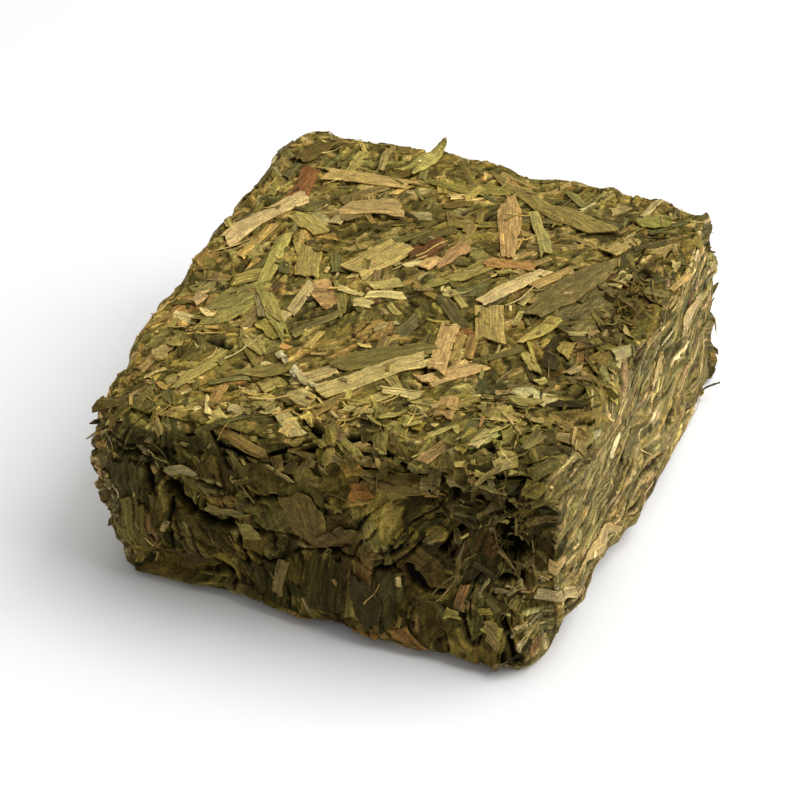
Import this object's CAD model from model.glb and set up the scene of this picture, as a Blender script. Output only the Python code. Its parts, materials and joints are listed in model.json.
"""The looks of a block of pressed hay.

Each side of the block has a chart: a flat map of that side in millimetres, which goes on a little way round
its edges. Flakes are laid on a chart one by one, each over what lies there. Most are pressed into the skin of
that side, one continuous surface, and the last ones lie loose on it as thin bodies of their own. The chart
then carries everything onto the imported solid. Sizes are in millimetres, and meshes turn to metres when made.
"""
import json
import math
from collections import namedtuple

import bpy
import numpy as np
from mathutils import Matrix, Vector
from mathutils.bvhtree import BVHTree


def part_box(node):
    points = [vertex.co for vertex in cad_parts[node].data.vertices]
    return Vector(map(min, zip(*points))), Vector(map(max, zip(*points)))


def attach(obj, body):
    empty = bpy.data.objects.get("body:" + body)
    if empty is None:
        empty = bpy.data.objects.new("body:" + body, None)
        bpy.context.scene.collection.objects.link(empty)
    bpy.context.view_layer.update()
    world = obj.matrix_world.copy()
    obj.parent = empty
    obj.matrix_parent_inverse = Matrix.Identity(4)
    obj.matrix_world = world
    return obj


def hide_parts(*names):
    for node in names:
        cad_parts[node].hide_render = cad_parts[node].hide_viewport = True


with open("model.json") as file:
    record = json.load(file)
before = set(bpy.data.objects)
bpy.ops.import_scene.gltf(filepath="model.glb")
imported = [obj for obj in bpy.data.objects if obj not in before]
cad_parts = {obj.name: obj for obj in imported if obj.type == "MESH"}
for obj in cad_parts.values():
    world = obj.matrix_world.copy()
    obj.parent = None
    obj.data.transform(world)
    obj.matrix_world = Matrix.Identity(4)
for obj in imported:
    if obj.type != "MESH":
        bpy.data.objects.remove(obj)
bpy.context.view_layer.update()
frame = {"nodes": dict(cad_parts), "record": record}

MM = 0.001
SEED = 2207

# The box round the pressed mass: its middle and half its size along X, Y and Z.
block_low, block_high = (np.array(corner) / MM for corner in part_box("pressed_block"))
MIDDLE = (block_low + block_high) / 2
HALF = (block_high - block_low) / 2

Side = namedtuple("Side", "across up out")
X, Y, Z = np.eye(3)
SIDES = {
    "top": Side(X, Y, Z),
    "front": Side(X, Z, -Y),
    "right": Side(Y, Z, X),
    "back": Side(-X, Z, Y),
    "left": Side(-Y, Z, -X),
    "under": Side(X, -Y, -Z),
}

# Charts look straight down on a side and turn with its rounded edges, about an inner box this far within
# the outer.
ROUNDING = 25.0
CORE = HALF - ROUNDING

# A chart's own grid, how far it goes on past its edges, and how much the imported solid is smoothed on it.
CHART_STEP = 1.0
CHART_WRAP = 10.0
CHART_SMOOTH = 0.8
NORMAL_SMOOTH = 2.4

# The skin is looked for along lines from this share of the rounding outside the inner box.
START_OUT = 1.6

# Places over a side are looked up from this far out, and the chart's stretch there over this distance. What
# lies lower than OWN_FACE of the way out from the middle isn't the side's own face.
FAR_OUT, NEAR_BY, OWN_FACE = 200.0, 3.0, 0.5

# How far one side's skin laps the next.
SKIN_LAP = 0.8

# How far colours bleed into each other in the skin, in cells of its grid.
TINT_SMOOTH = 0.6

# A place is shaded by how it lies beside what is within this reach, as dust and shade gather in hollows:
# how much darker a hollow is and how much lighter a rise, to the millimetre, and how far that goes.
HOLLOW_REACH, HOLLOW_DARK, RISE_LIGHT, SHADE_LIMITS = 0.8, 1.7, 0.6, (0.2, 1.2)

# Nothing reaches below this height over the surface that the block rests on.
REST_HEIGHT = 0.03

# Edges that turn more than this many degrees are drawn sharp.
SHARP_DEGREES = 55


def linear(hex_colour):
    """An sRGB hex colour as linear red, green and blue."""
    parts = [int(hex_colour[i:i + 2], 16) / 255 for i in (0, 2, 4)]
    return np.array([p / 12.92 if p <= 0.04045 else ((p + 0.055) / 1.055) ** 2.4 for p in parts])


# What the flakes are, with their colours as they dry: pale hollow straw, grass blade, broken leaf and stem
# skin.
STUFFS = ("straw", "blade", "leaf", "bark")
COLOURS = {
    "straw": [linear(c) for c in ("b8985a", "a98a4c", "c8ad74", "94783e", "b5965e", "7c6e3a")],
    "blade": [linear(c) for c in ("938040", "7c6c36", "9f8b4c", "6e6134", "a89256", "5f542c")],
    "leaf": [linear(c) for c in ("705f30", "5c4e28", "806e3a", "4c4120", "8a7842", "66572e")],
    "bark": [linear(c) for c in ("ac8656", "8f6a40", "bd9868", "7c5e3a", "a07c4e")],
}

# How a side is made. step is the grid that flakes pile up on, which is also the skin's mesh. crumple is the
# depth of the mass's lumps, lump their width and stretch their length beside it. comb and comb_tone are the
# depth and the contrast of the fine fibres that show all over. heading is the way that fibres run, in
# degrees from level, and sway how far they bend off it. The two colours are those of the deep mass and of
# the mass that shows. tone is how red, green and blue the side's flakes are beside their own colours: the
# cut sides are dustier, and the front is damp and dark. seams is the number of thin dark gaps to the square
# centimetre. claim is how readily a rounded edge takes this side's look.
Ground = namedtuple("Ground", "step level crumple lump stretch comb comb_tone heading sway deep shown tone "
                              "seams claim")
GROUNDS = {
    "top": Ground(0.42, -0.5, 0.45, 5.0, 1.3, 0.05, 0.12, 70, 5, linear("2e260e"), linear("6c5c30"),
                  np.array((0.70, 0.71, 0.56)), 0.4, 0.0),
    "front": Ground(0.34, -1.1, 0.6, 6.0, 1.4, 0.06, 0.16, 80, 6, linear("120f06"), linear("3a3218"),
                    np.array((0.41, 0.42, 0.33)), 1.0, -0.15),
    "right": Ground(0.34, -0.5, 0.3, 2.0, 9.0, 0.07, 0.16, 8, 1.5, linear("332b17"), linear("7c7350"),
                    np.array((0.94, 0.99, 1.08)), 2.4, 0.05),
}
GROUNDS["back"] = GROUNDS["right"]._replace(step=0.5, level=-0.2)
GROUNDS["left"] = GROUNDS["right"]._replace(step=0.5)
GROUNDS["under"] = GROUNDS["top"]._replace(step=0.7)

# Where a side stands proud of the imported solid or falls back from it: place, reach along and across, and
# height.
Swell = namedtuple("Swell", "a b reach_a reach_b height")
SWELLS = {
    "left": (
        Swell(-40, 18, 16, 10, 1.2), Swell(-35, 15, 35, 14, 0.9), Swell(-2, 20, 24, 8, 1.2),
        Swell(45, 20, 9, 8, -0.6), Swell(56, 22, 6, 8, 1.4), Swell(18, 20, 10, 8, 1.0),
        Swell(66, 22, 8, 7, -5.5), Swell(66, -10, 7, 8, 2.0), Swell(-68, 15, 8, 14, -0.6),
    ),
    "right": (
        Swell(45, 5, 25, 20, -0.9), Swell(69, -16, 12, 10, -4.8), Swell(-25, -10, 28, 10, 1.0),
        Swell(0, -22, 45, 11, 2.0), Swell(-40, -20, 16, 10, 2.0), Swell(-60, -16, 12, 9, 2.2),
        Swell(66, 20, 9, 8, -2.6), Swell(45, -20, 9, 9, -1.5), Swell(68, 4, 8, 7, 1.8),
    ),
    "front": (
        Swell(-26, -24, 22, 7, -2.8), Swell(40, -26, 14, 6, 3.0), Swell(14, -25, 18, 7, 1.8),
        Swell(-58, 16, 7, 8, -2.8),
    ),
    "back": (
        Swell(-60, -18, 8, 10, -1.5), Swell(58, 15, 8, 14, -1.0), Swell(-10, 24, 18, 5, 0.4),
        Swell(12, 24, 9, 6, 2.4), Swell(-42, 24, 8, 5, 1.2), Swell(35, 24, 16, 5, 1.2),
    ),
    "top": (
        Swell(-20, 66, 36, 8, 1.6), Swell(-10, 66, 12, 8, 1.4), Swell(12, 66, 12, 8, -1.2),
        Swell(40, 66, 8, 8, 1.0), Swell(-56, -62, 8, 8, -2.0),
    ),
    "under": (Swell(-20, 62, 20, 10, -1.3),),
}

# Where a side is lighter or darker than the rest of it: place, reach along and across, and by how much.
Cast = namedtuple("Cast", "a b reach_a reach_b light")
CASTS = {
    "top": (Cast(48, 0, 10, 48, -0.45), Cast(5, -8, 30, 30, -0.14), Cast(0, 52, 50, 14, 0.36),
            Cast(-10, -50, 34, 12, 0.2), Cast(30, 26, 18, 20, -0.18)),
    "front": (Cast(36, 8, 8, 10, -0.7), Cast(-44, -2, 9, 20, 0.35), Cast(-22, 3, 12, 6, 0.25),
              Cast(8, 15, 14, 6, 0.3), Cast(-28, 19, 26, 5, -0.5), Cast(-30, -12, 20, 10, 0.25)),
}

# Random patches of light and warmth on every side: their size, which is longer one way, and how strong they
# are.
PATCH_SIZE, PATCH_STRETCH, PATCH_LIGHT, PATCH_HUE = 12.0, 2.0, 0.12, 0.03

# The mass's lumps come in three sizes, each with its share of the depth, and the tops of the middling and the
# fine ones show paler. The fibres over it bend over BEND_SIZE, and are so wide and so many times longer.
# STREAK_CELL is the grid that streaks are drawn on, beside their width.
LUMP_SIZES, LUMP_DEPTHS = (1.0, 0.4, 0.2), (0.6, 0.4, 0.25)
MIDDLING_SHOWS, FINE_SHOWS = 0.2, 0.3
BEND_SIZE, FIBRE_WIDTH, FIBRE_STRETCH, STREAK_CELL = 36.0, 0.5, 14.0, 0.4

# The border between two sides' looks wavers by this much of a right angle.
LOOK_WAVER, LOOK_WAVER_SIZE = 0.07, 4.0

# Where one side's look goes further over an edge: the chart, the side that gains there, and the spot.
GAINS = (("top", "right", Cast(59, 28, 12, 26, 0.45)), ("top", "front", Cast(-20, -70, 40, 4, 0.3)))

# The mass stands fuller at the block's upright corners and along its other edges.
CORNER_FILL, EDGE_FILL, FILL_REACH = 2.0, 0.8, 3.2

# One layer of flakes: how many to the square centimetre, ranges of length, width and thickness, the share
# of each stuff, how far their direction spreads, in degrees, how far an edge may roll up and an end stand
# up, and how crumpled they are.
Course = namedtuple("Course", "density length width thick shares spread roll lift crumple")
MIXED = (0.30, 0.42, 0.26, 0.02)
LEAFY = (0.04, 0.34, 0.60, 0.02)
PALE = (0.36, 0.44, 0.16, 0.04)
THICK, THIN, FLAT = (0.25, 0.45), (0.12, 0.28), (0.06, 0.16)
PRESSED = {
    "top": (
        Course(5, (3, 8), (1.0, 2.6), THIN, MIXED, 40, 0.10, 0.0, 0.05),
        Course(3.0, (7, 16), (3.5, 7.0), THIN, LEAFY, 35, 0.10, 0.0, 0.08),
        Course(12, (2.5, 9), (0.4, 1.1), THIN, MIXED, 25, 0.05, 0.0, 0.04),
        Course(4, (5, 16), (1.5, 4.0), THICK, MIXED, 35, 0.12, 0.0, 0.04),
        Course(10, (1.5, 5), (0.3, 1.0), THIN, MIXED, 40, 0.1, 0.0, 0.04),
    ),
    "front": (
        Course(2.5, (6, 15), (2.5, 6.0), THIN, LEAFY, 30, 0.15, 0.0, 0.10),
        Course(7, (4, 12), (0.5, 1.3), FLAT, LEAFY, 15, 0.06, 0.0, 0.04),
        Course(1.2, (9, 19), (5.0, 10.0), THIN, LEAFY, 25, 0.2, 0.0, 0.14),
        Course(2.0, (3, 9), (0.6, 1.8), THIN, MIXED, 30, 0.1, 0.0, 0.05),
    ),
    "right": (
        Course(2.5, (9, 24), (1.6, 3.6), FLAT, PALE, 8, 0.08, 0.0, 0.04),
        Course(12, (4, 13), (0.4, 1.1), FLAT, PALE, 8, 0.05, 0.0, 0.03),
        Course(3.0, (7, 20), (0.9, 2.2), FLAT, PALE, 8, 0.10, 0.0, 0.04),
        Course(4, (2, 6), (0.5, 1.4), FLAT, MIXED, 15, 0.10, 0.0, 0.04),
    ),
}
LOOSE = {
    "top": (
        Course(0.9, (3, 7), (0.8, 2.2), THIN, MIXED, 50, 0.15, 0.2, 0.03),
        Course(0.9, (6, 16), (1.8, 3.8), THICK, (0.36, 0.46, 0.16, 0.02), 40, 0.15, 0.2, 0.04),
    ),
    "front": (
        Course(0.6, (2, 6), (0.7, 1.8), THIN, MIXED, 50, 0.2, 0.2, 0.05),
    ),
    "right": (
        Course(0.6, (5, 14), (0.5, 1.5), THIN, MIXED, 8, 0.1, 0.1, 0.02),
    ),
}
for table in (PRESSED, LOOSE):
    table["left"] = table["back"] = table["right"]
    table["under"] = table["top"][:2]

# How much the lightness of flakes varies, how much more that of narrow ones does, and how much their warmth
# varies, which is redder and less blue.
LIGHT_VARIES, SMALL_VARIES, HUE_VARIES = 0.16, 0.12, 0.05
WARMER = np.array((1, 0, -1))

# Flakes are spread evenly but not in rows: each place goes on from the last by these shares of the side,
# and is then shaken a little. Small sizes are commoner, the more so the higher their powers. No flake is
# wider than WIDEST of its length. Narrow ones are under NARROW wide and short ones under SHORT long.
# Courses that spread less than STRAIGHT degrees have blades for leaves. No loose flake starts over a gap
# that is more open than OPEN_LIMIT.
EVEN_A, EVEN_B, SHAKE = 0.7548777, 0.5698403, 1.5
LENGTH_POWER, WIDTH_POWER, WIDEST = 1.5, 1.4, 0.7
NARROW, SHORT, STRAIGHT, OPEN_LIMIT = 1.2, 5, 20, 0.3

# The share of loose ends that stand up, how arched straws and other flakes are, and how little straws
# crumple.
LIFTED, STRAW_ARCH, FLAKE_ARCH, STRAW_CRUMPLE = 0.5, 0.12, 0.06, 0.3

# How much stiffer than the mass a flake is: 1 lies dead flat and 0 follows every lump.
STIFFNESS = {"straw": 0.8, "blade": 0.7, "leaf": 0.4, "torn": 0.6}

# A blade tapers by this share of its width. A leaf is a bulge with its ends cut off, never narrower than its
# tip, and rounder the lower its power.
BLADE_TAPER, LEAF_CUT, LEAF_TIP, LEAF_ROUND = 0.7, 0.1, 0.3, (0.3, 0.9)

# How uneven a flake's long edges are, as a share of its width: the nodes of their bends, the places between
# two, and how much of it is bends and how much is tears. Its ends are ragged by a share of its length, cut
# straws less than the rest, and slanted, and the whole is bowed a little.
EDGE_ROUGH = {"straw": 0.04, "blade": 0.07, "leaf": 0.12, "torn": 0.09}
EDGE_BENDS, EDGE_FINE, EDGE_SWAY, EDGE_TEAR = 3, 12, 1.2, 0.35
END_ROUGH, CUT_END_ROUGH, END_SLANT, BOW = 0.05, 0.025, 0.3, 0.005

# What lies under a flake is read this much finer than the chart. A loose one lies nearer to the highest of it
# than to its mean, by this share. Its rim is thinner by RIM_THICK, and GRAIN_APART sets its grain apart from
# the next.
FINER, LIES_HIGH, RIM_THICK, GRAIN_APART = 1.4, 0.75, 0.6, 7.31

# The thin gaps between layers: their length in steps, half their width, their depth, and how they stray at
# a step.
SEAM_STEP, SEAM_STEPS, SEAM_HALF_WIDTH, SEAM_DEPTH, SEAM_STRAY = 3.0, (2, 6), (0.12, 0.3), 0.6, 0.1

# How ragged the walls of every gap are, over what length, the least that one narrows to, and how many times
# its half width its walls reach.
RAGGED, RAGGED_SIZE, RAGGED_LEAST, WALL_REACH = 0.35, 2.5, 0.4, 3

# Where the mass has split, straight over each side: half the split's width, its depth, and the line that it
# follows. SPLIT_DARK is how much of the light a split swallows.
SPLIT_DARK = 0.9
SPLITS = {
    "front": (
        # The long split across the front, with its branches.
        (0.95, 2.2, (-35, 5), (-34, 3), (-32, 1), (-28, -3), (-24, -4), (-19, -4), (-16, -4)),
        (0.9, 1.8, (-16, -4), (-12, -4), (-8, -4), (-2, -5), (5, -4), (7, -2)),
        (0.7, 1.4, (-17, -6), (-16, -14)), (0.7, 1.4, (-14, -10), (-11, -12), (-8, -11)),
        (0.5, 1.2, (-5, -8), (2, -6), (11, -5), (18, -4)),
        # Under the left edge, and between the leaves below it.
        (1.0, 2.2, (-44, 11), (-39, 10), (-36, 11)), (0.6, 1.2, (-38, 7), (-37, -1)),
        (0.4, 0.9, (-33, -1), (-34, -17)), (0.8, 1.5, (-25, -16), (-20, -21), (-17, -25)),
        # Over the long split.
        (0.8, 1.6, (-18, 19), (-13, 15)), (0.5, 1.2, (-32, 6), (-27, 8), (-19, 8)),
        (1.0, 1.6, (-11, 8), (-8, 8)),
        # Under the brow, and the dark hollow beside the near upright corner.
        (0.6, 1.5, (-49, 13), (-44, 14), (-38, 11)),
        (0.7, 1.6, (-28, 21), (-23, 19), (-20, 18), (-11, 16)), (0.6, 1.4, (-9, 17), (-3, 20), (3, 22)),
        (0.7, 2.2, (-4, 22), (9, 23), (21, 26)), (0.9, 2.2, (12, 18), (16, 18), (21, 17), (24, 16)),
        (2.0, 3.0, (22, 19), (27, 20), (30, 16)), (3.2, 3.4, (36, 18), (39, 17), (41, 12), (43, 5)),
        (1.6, 2.6, (38, 21), (44, 22)),
        # Low on the right.
        (0.9, 2.0, (28, 2), (30, 6), (33, 9), (37, 12)),
        (0.9, 2.0, (21, -3), (22, -6), (25, -8), (29, -8)), (1.6, 2.4, (42, -1), (45, -1)),
        (0.9, 1.6, (42, -12), (45, -21)), (0.6, 1.2, (33, -13), (35, -18)),
    ),
    "top": (
        (0.6, 1.0, (-38, -32), (-33, -30), (-29, -25)),
        (0.6, 1.2, (-20, -18), (-14, -16), (-11, -15), (-5, -10)),
        (1.0, 1.8, (-7, -54), (-3, -58), (0, -61)), (0.9, 1.4, (-37, -36), (-32, -36)),
        (0.8, 1.4, (-22, -47), (-15, -46)), (0.9, 1.6, (21, 19), (25, 17), (35, 22)),
        (1.0, 1.6, (42, 12), (46, 15)), (1.0, 1.6, (43, -33), (45, -29)),
        (1.0, 1.6, (36, -42), (37, -38)), (1.6, 2.2, (36, -57), (40, -52)),
        (0.6, 1.2, (44, -20), (43, -13), (44, -6)), (0.5, 1.0, (43, -27), (47, -25)),
    ),
}

# Flakes that the photo shows one by one beside the part's own named ones. Pressed ones lie in the skin and
# loose ones on it. Each has its form and colour, then its place straight over the side, its direction in
# degrees, its length and width, and how far its end stands up. SEEN_LAP is how far past its edge a chart
# still takes pressed ones, and the stretch of a chart round an edge changes their sizes by no more than
# SEEN_STRETCH.
SEEN_LAP, SEEN_STRETCH = 3.0, (0.8, 1.6)
SEEN_THICK, SEEN_ROLL, SEEN_START, SEEN_ARCH, SEEN_CRUMPLE = (0.5, 0.4), 0.1, 0.15, 0.05, 0.05
Seen = namedtuple("Seen", "form colour a b degrees length width lift", defaults=(0.15,))
SEEN_PRESSED = (
    ("front", (
        ("leaf", "6a6031", -4, 5, -130, 18, 9.4), ("leaf", "5c4f2a", 4, 2, -40, 9, 7.2),
        ("leaf", "4f4724", 2, -13, -97, 15, 8.9), ("leaf", "4c4522", -9, -19, -100, 13, 5.8),
        ("blade", "4a4324", -14, -17, -72, 9, 4.7), ("blade", "6b6135", -48, -1, -89, 16, 4.0),
        ("blade", "564e2b", -45, 0, -92, 15, 3.9), ("blade", "5d542e", -41, 1, -91, 13, 3.4),
        ("straw", "857942", -44, -10, -86, 13, 3.8), ("leaf", "8a6d45", -39, -11, -85, 9, 4.5),
        ("leaf", "6e5a2c", -35, -20, 4, 17, 4.7), ("blade", "8a7a38", -21, -17, -65, 9, 2.5),
        ("leaf", "6f6234", -28, -13, -41, 7, 4.9), ("leaf", "7d6f35", -28, 4, -21, 6, 4.7),
        ("leaf", "8c7038", -20, 3, 29, 11, 4.7), ("leaf", "82763a", -30, 9, -28, 4, 4.1),
        ("torn", "8d7e4a", -22, 8, 9, 7, 3.1), ("blade", "6d6233", -13, 4, -10, 5, 5.0),
        ("blade", "8e8147", 14, 4, -82, 9, 3.0), ("straw", "756a3a", 17, -1, -83, 7, 1.4),
        ("straw", "7c703e", 19, 0, -88, 7, 1.3), ("leaf", "8a7634", 21, 5, 21, 4, 3.4),
        ("leaf", "9c8640", 27, 6, 14, 4, 3.0), ("leaf", "604f28", 24, -3, -47, 12, 6.9),
        ("leaf", "463f1f", 5, -13, -91, 13, 5.0), ("leaf", "4b4424", 17, -12, -88, 14, 6.3),
        ("straw", "8a7c45", 9, -14, -88, 9, 2.1), ("torn", "8a6632", 12, -26, 5, 6, 3.4),
        ("blade", "7f703f", 48, 17, 22, 7, 1.9), ("blade", "6f6037", 48, 13, 27, 7, 1.9),
        ("blade", "9a8c4d", 23, 23, -79, 7, 2.2), ("blade", "8b7e45", 26, 24, -78, 8, 2.2),
    )),
    ("top", (
        ("torn", "a07a48", -49, -25, 90, 12, 4.6), ("torn", "9c8248", -43, -18, -5, 5, 4.6),
        ("blade", "8a7c48", -45, -37, 28, 11, 4.5), ("torn", "8c7e48", -34, -20, 50, 6, 9.0),
        ("leaf", "9a7c48", -4, -21, 43, 8, 8.2), ("straw", "a89050", -33, -3, 106, 19, 2.2),
        ("torn", "a09056", -46, 3, 51, 8, 6.4), ("straw", "a5854e", -53, -2, 77, 6, 3.5),
        ("torn", "8e7f50", -48, -12, 48, 7, 5.9), ("straw", "b58a5e", 7, -31, 55, 8, 5.2),
        ("straw", "96743f", -3, -33, 27, 8, 3.7), ("torn", "7e5634", 16, -17, 59, 5, 4.4),
        ("straw", "a88c52", 16, -23, 90, 11, 2.5), ("torn", "8f8044", 8, -7, 59, 4, 4.5),
        ("leaf", "6e4c30", -5, 17, 61, 9, 7.1), ("torn", "8b7d48", 7, 20, 51, 4, 6.0),
        ("leaf", "7c6c40", 29, 6, 67, 9, 9.6), ("leaf", "6f6340", 38, 4, 77, 19, 9.9),
        ("torn", "7a6a44", 40, -4, 73, 14, 4.3), ("straw", "a08a50", 24, -45, 33, 8, 3.5),
        ("straw", "a9985c", 23, -38, 64, 3, 2.9),
    )),
)
SEEN_LOOSE = (
    ("front", (
        ("torn", "b5a45a", -15, 12, 31, 4, 1.6), ("torn", "a89854", -15, -4, 14, 4, 3.9),
        ("torn", "93803c", -2, 15, 13, 5, 2.0), ("torn", "b08a42", 9, 18, 20, 4, 3.1),
        ("torn", "a3733a", 11, 13, 10, 4, 3.8), ("straw", "9c8a3f", 20, 14, 14, 8, 2.2),
        ("torn", "a88446", 26, 13, -16, 5, 2.4), ("straw", "946c36", 33, -8, -100, 7, 1.9),
        ("torn", "c2b061", 31, -13, 5, 3, 2.2), ("torn", "a89348", 38, -11, 20, 3, 2.0),
        ("torn", "c8b564", 40, -15, -19, 4, 2.3), ("torn", "95703c", 22, -21, -40, 6, 3.4),
        ("torn", "a99954", 27, -23, -52, 4, 2.2), ("torn", "b5a05a", 44, -7, 50, 4, 1.9),
        ("torn", "b9a55c", 40, 24, 13, 3, 2.8), ("torn", "94863f", 44, 25, -33, 4, 3.0),
        ("torn", "8f7f3c", 46, 20, -4, 4, 3.0), ("straw", "c3b161", 40, 11, -66, 4, 0.5),
        ("straw", "a89854", 43, 7, -68, 6, 0.5), ("straw", "c8b664", 35, 8, 51, 7, 0.6),
        ("straw", "d0bd68", 39, 9, -55, 5, 1.0),
    )),
    ("right", (
        ("torn", "c0a060", -67, 1, -22, 11, 5.1), ("straw", "b9a26a", -68, -11, -11, 19, 3.7),
    )),
    ("top", (
        ("torn", "b99a6f", -47, -20, 87, 5, 2.7), ("straw", "8f8055", -32, -19, -60, 12, 2.0),
        ("leaf", "a0904a", -25, -28, -33, 9, 5.7), ("leaf", "9a8a50", -27, -34, -43, 10, 4.0),
        ("torn", "b08c5c", -20, -10, 42, 5, 8.5), ("straw", "b39c68", -24, -14, 84, 10, 2.4),
        ("straw", "c8b478", -14, -8, -15, 7, 1.5), ("straw", "d2bd7e", -6, -7, 24, 8, 2.7),
        ("straw", "b8a562", -8, -2, 45, 8, 3.0), ("torn", "c9b478", -9, -13, 4, 4, 2.9),
        ("straw", "a39048", -40, -7, 39, 7, 3.5), ("straw", "c9b078", -17, -42, -9, 10, 2.5),
        ("straw", "b99c6f", -3, -47, 24, 5, 3.6), ("torn", "b7a46d", -8, -51, -27, 6, 4.0),
        ("torn", "a59463", -7, -60, -46, 9, 3.6), ("torn", "c3af75", -15, -53, -36, 5, 2.5),
        ("straw", "c9b478", 12, -45, 21, 8, 2.8), ("straw", "b8a56e", 6, -54, -4, 7, 1.8),
        ("torn", "b99f66", 8, -57, 67, 5, 2.5), ("leaf", "94803a", 18, -54, -26, 6, 5.4),
        ("straw", "a39250", 10, -3, -48, 8, 1.9), ("torn", "c0ac73", 7, -2, 40, 2, 3.5),
        ("torn", "c4a06c", -2, 11, 71, 6, 2.8), ("torn", "a69555", 16, 11, 36, 3, 4.1),
        ("torn", "a39252", 38, 24, 52, 4, 4.2), ("torn", "b09e68", 42, 17, 75, 7, 3.7),
        ("straw", "b3a165", 24, 3, 69, 4, 2.0), ("straw", "a89758", 25, -6, 92, 6, 1.5),
        ("torn", "9c8c50", 34, -25, -57, 8, 3.3), ("torn", "a08c4c", 39, -16, 81, 4, 3.2),
        ("torn", "c9ba88", 39, -38, -24, 8, 4.7), ("torn", "b3a158", 55, -27, -57, 5, 2.4),
        ("straw", "a89656", 38, -31, 55, 3, 2.1), ("straw", "9c8c56", 40, -10, 41, 5, 1.2),
        ("straw", "b09e50", 32, -19, -64, 12, 0.7), ("torn", "b09468", 22, -50, -59, 6, 2.1),
        # The pale curled rim of the broad leaf near the front.
        ("torn", "cfc29c", -19, -37, -50, 4, 1.6, 0.9), ("torn", "c9ba90", -16, -40, -40, 4, 1.3, 0.9),
        ("torn", "d2c6a4", -13, -43, -48, 4, 1.7, 0.9), ("torn", "c4b488", -10, -45, -30, 4, 1.3, 0.9),
        ("torn", "cdbf96", -6, -46, 10, 4, 1.5, 0.9), ("torn", "c8b98e", -3, -45, 38, 4, 1.3, 0.8),
        ("torn", "c4b488", 1, -39, 62, 5, 1.4, 0.6),
        # The crumpled fan of leaf over the near upright corner.
        ("torn", "c2b06a", 34, -47, -31, 9, 3.4, 0.7), ("straw", "b4b06c", 34, -57, 53, 7, 0.9, 0.8),
        ("torn", "a8964c", 31, -58, 70, 6, 2.6, 0.5), ("torn", "c0a862", 32, -62, 10, 4, 1.7, 0.8),
        ("torn", "b8a660", 36, -63, -10, 4, 1.8, 0.8), ("torn", "cbb87a", 39, -61, 30, 3, 2.4, 0.8),
    )),
    ("left", (
        # A tuft at the near left corner.
        ("straw", "5c4c2c", 59, 11, 20, 7, 0.5, 1.6), ("straw", "b8aa84", 59, 9, -20, 6, 0.35, 1.4),
        ("torn", "4e4026", 59, 12, 5, 5, 1.6, 0.9), ("straw", "a09070", 58, 8, -50, 6, 0.35, 1.4),
    )),
    ("right", (
        # A hair at the back, which stands well out.
        ("straw", "6a5a38", 47, -22, 20, 8, 0.35, 4.0),
    )),
)

# How red, green and blue the flakes of each side are beside those colours.
SEEN_TONE = {"top": np.array((0.80, 0.79, 0.62)), "right": np.array((0.8, 0.8, 0.8)),
             "front": np.array((0.62, 0.61, 0.53))}
SEEN_TONE["left"] = SEEN_TONE["back"] = SEEN_TONE["right"]

# What each form is made of where the photo shows it, and the forms that straw and stem skin always have.
# Blades and leaves take one of LEAFY_FORMS in the courses, and what lies in a heap one of HEAP_FORMS.
FORM_STUFF = {"straw": "straw", "blade": "blade", "leaf": "leaf", "torn": "leaf"}
STUFF_FORM = {"straw": "straw", "bark": "torn"}
LEAFY_FORMS, HEAP_FORMS = ("blade", "torn", "torn", "leaf"), ("torn", "blade", "leaf")

# The mesh of long and short flakes, in cells along and across: first that of loose ones, then of pressed
# ones.
CELLS = (((9, 3), (4, 2)), ((6, 2), (3, 1)))
SEEN_CELLS = ((9, 3), (8, 3))

# Jumbled broken bits: the side that they lie straight under, place and reach, how many, and how light they
# are.
Heap = namedtuple("Heap", "side a b reach_a reach_b bits light")
HEAPS = (
    Heap("top", 38, -50, 14, 12, 70, 1.1),
    Heap("top", 47, -6, 6, 36, 70, 1.1),
    Heap("top", -8, -55, 40, 8, 70, 1.15),
    Heap("top", -43, -40, 7, 16, 30, 1.1),
    Heap("front", 16, 21, 18, 5, 55, 1.05),
    Heap("front", 36, 16, 12, 9, 60, 1.0),
    Heap("front", 42, 0, 6, 22, 40, 1.0),
    Heap("front", -20, 13, 24, 6, 40, 0.95),
    Heap("front", -49, 0, 4, 36, 35, 1.0),
    Heap("back", -55, 0, 4, 36, 35, 1.0),
    Heap("back", 55, 0, 4, 36, 35, 1.0),
)
HEAP_LENGTH, HEAP_WIDTH, HEAP_POWER, HEAP_WIDEST = (1.5, 7.5), (0.4, 2.8), 1.7, 0.8
HEAP_VARIES, HEAP_ROLL, HEAP_LIFT, HEAP_ARCH, HEAP_CRUMPLE, HEAP_CELLS = 0.18, 0.3, 0.5, 0.1, 0.08, (4, 2)

# Hairs and crumbs to the square centimetre, their sizes, and how they vary. Bits take the first BIT_COLOURS
# of their stuff's colours, and crumbs the first CRUMB_STUFFS of the stuffs.
HAIRS, HAIR_LENGTH, HAIR_WIDTH, HAIR_THICK = 0.3, (3.0, 12.0), (0.18, 0.35), 0.18
HAIR_LIGHT, HAIR_SWAY, HAIR_LIFT, HAIR_CELLS = (-0.1, 0.3), 0.4, 0.4, (7, 1)
CRUMBS, CRUMB_LENGTH, CRUMB_WIDTH, CRUMB_THICK = 0.5, (0.6, 2.0), (0.4, 1.0), 0.25
CRUMB_VARIES, CRUMB_ROLL, CRUMB_SINK, CRUMB_CELLS = 0.2, 0.1, 0.05, (2, 1)
BIT_COLOURS, CRUMB_STUFFS = 5, 3

# The last small flakes, which lie over the named ones too.
LAST = Course(0.7, (2, 7), (0.6, 2.2), THIN, (0.4, 0.35, 0.2, 0.05), 60, 0.15, 0.3, 0.04)


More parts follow.
